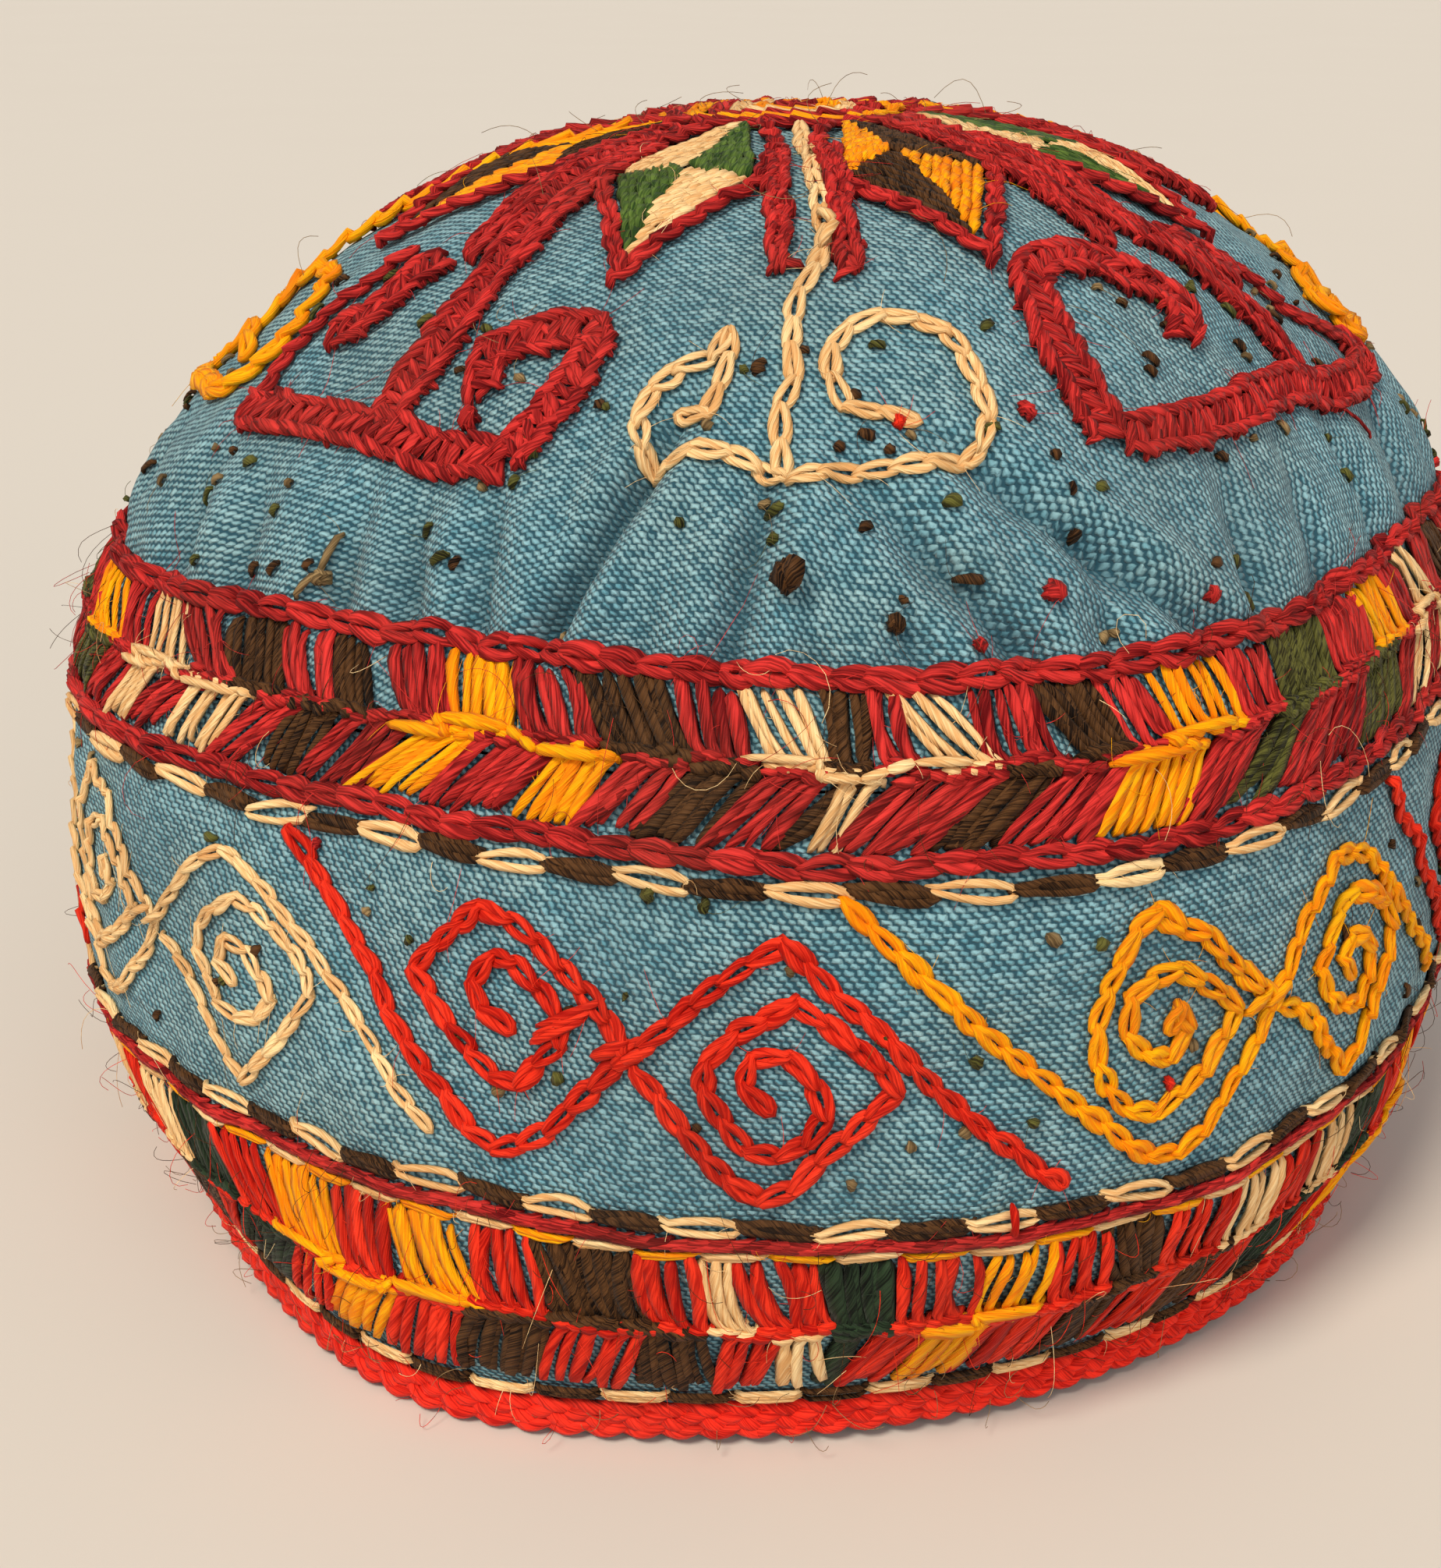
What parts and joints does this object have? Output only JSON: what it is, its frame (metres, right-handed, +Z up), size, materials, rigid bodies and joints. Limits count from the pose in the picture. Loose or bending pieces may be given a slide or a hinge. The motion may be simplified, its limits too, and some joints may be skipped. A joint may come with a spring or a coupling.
{
  "type": "skullcap",
  "caption": "Domed embroidered skullcap: gathered cotton crown on a barrel-shaped side band, raised needlework bands and a plaited rim braid.",
  "frame": {"origin": "under the middle of the cap, on the surface that the rim braid rests on", "axes": "+Z up through the crown, -Y towards the front that the picture shows, +X to the cap's right side in that view"},
  "size_m": [0.179, 0.1792, 0.1314],
  "materials": {
    "blue_cotton": "plain-woven cotton, faded blue, with brown specks",
    "scarlet_braid": "tightly plaited scarlet cotton braid, slightly glossy",
    "crimson_silk": "soft twisted crimson silk thread, slightly fuzzy",
    "scarlet_silk": "soft twisted scarlet silk thread, slightly fuzzy",
    "medallion_silk": "crimson, orange, green, cream and dark silk thread laid side by side"
  },
  "bodies": {
    "root": {"crown": "blue_cotton", "side_band": "blue_cotton", "rim_braid": "scarlet_braid", "seam_needlework": "crimson_silk", "hem_needlework": "scarlet_silk", "crown_medallion": "medallion_silk"}
  },
  "joints": []
}
